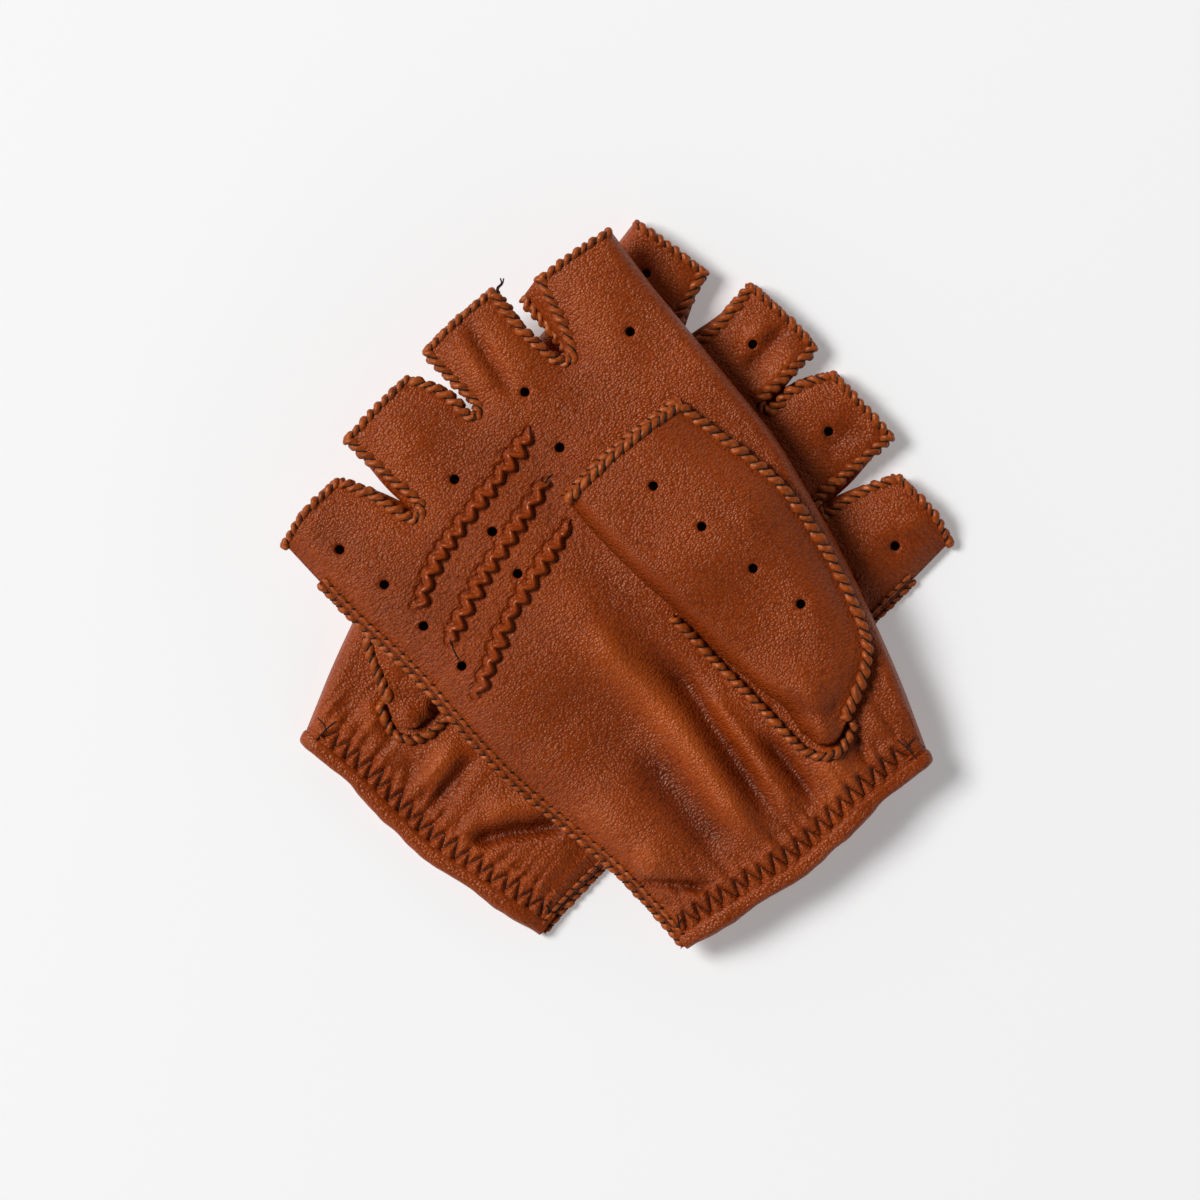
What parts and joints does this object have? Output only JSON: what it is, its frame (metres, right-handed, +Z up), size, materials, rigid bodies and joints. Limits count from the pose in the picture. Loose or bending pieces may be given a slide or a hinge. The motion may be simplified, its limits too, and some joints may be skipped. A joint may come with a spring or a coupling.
{
  "type": "half-finger leather gloves",
  "caption": "Pair of half-finger leather driving gloves with whip-stitched edges, vent holes and pin-tucked palms, laid palm up and crossed.",
  "frame": {"origin": "on the surface, at the middle of the pair's footprint", "axes": "+Z up out of the palms, +Y from the upper (right-hand) glove's cuff towards its fingertips, +X across it towards its index finger"},
  "size_m": [0.1546, 0.1532, 0.0279],
  "materials": {
    "leather": "pebbled cognac leather, satin",
    "leather_inside": "flesh side of the leather, matt and napped",
    "thread": "dark brown waxed sewing thread",
    "elastic": "woven elastic tape, matt"
  },
  "bodies": {
    "left_glove": {"left_back": "leather", "left_cuff_hem": "leather", "left_index_fold": "leather", "left_index_hem": "leather", "left_index_middle_gusset": "leather_inside", "left_index_middle_slot_seam": "leather", "left_little_hem": "leather", "left_middle_hem": "leather", "left_middle_ring_gusset": "leather_inside", "left_middle_ring_slot_seam": "leather", "left_palm": "leather", "left_palm_tuck_1": "leather", "left_palm_tuck_2": "leather", "left_palm_tuck_3": "leather", "left_ring_hem": "leather", "left_ring_little_gusset": "leather_inside", "left_ring_little_slot_seam": "leather", "left_side_seam": "leather", "left_thumb": "leather", "left_thumb_base": "leather", "left_thumb_base_closing_seam": "leather", "left_thumb_base_seam": "leather", "left_thumb_closing_seam": "leather", "left_thumb_hem": "leather", "left_wrist_elastic": "elastic", "left_zigzag_stitch": "thread"},
    "right_glove": {"right_back": "leather", "right_cuff_hem": "leather", "right_index_fold": "leather", "right_palm": "leather", "right_palm_tuck_1": "leather", "right_palm_tuck_2": "leather", "right_palm_tuck_3": "leather", "right_side_seam": "leather", "right_thumb_base": "leather", "right_thumb_base_closing_seam": "leather", "right_thumb_base_seam": "leather", "right_wrist_elastic": "elastic", "right_zigzag_stitch": "thread"},
    "right_fingers": {"right_back_fingers": "leather", "right_index_fold_fingers": "leather", "right_index_hem": "leather", "right_index_middle_gusset": "leather_inside", "right_index_middle_slot_seam": "leather", "right_little_hem": "leather", "right_middle_hem": "leather", "right_middle_ring_gusset": "leather_inside", "right_middle_ring_slot_seam": "leather", "right_palm_fingers": "leather", "right_ring_hem": "leather", "right_ring_little_gusset": "leather_inside", "right_ring_little_slot_seam": "leather", "right_side_seam_fingers": "leather"},
    "right_thumb": {"right_thumb": "leather", "right_thumb_closing_seam": "leather", "right_thumb_hem": "leather"}
  },
  "joints": [
    {"name": "right_glove_lift", "type": "slide", "parent": "left_glove", "child": "right_glove", "axis": [0, 0, 1], "range_m": [0, 0.06]},
    {"name": "right_fingers_curl", "type": "hinge", "parent": "right_glove", "child": "right_fingers", "pos_m": [0.00023, 0.04471, 0.0209], "axis": [0.9903, 0.1386, 0], "range_deg": [0, 60]},
    {"name": "right_thumb_swing", "type": "hinge", "parent": "right_glove", "child": "right_thumb", "pos_m": [0.03, -0.01009, 0.0258], "axis": [1, 0, 0], "range_deg": [0, 60]}
  ]
}
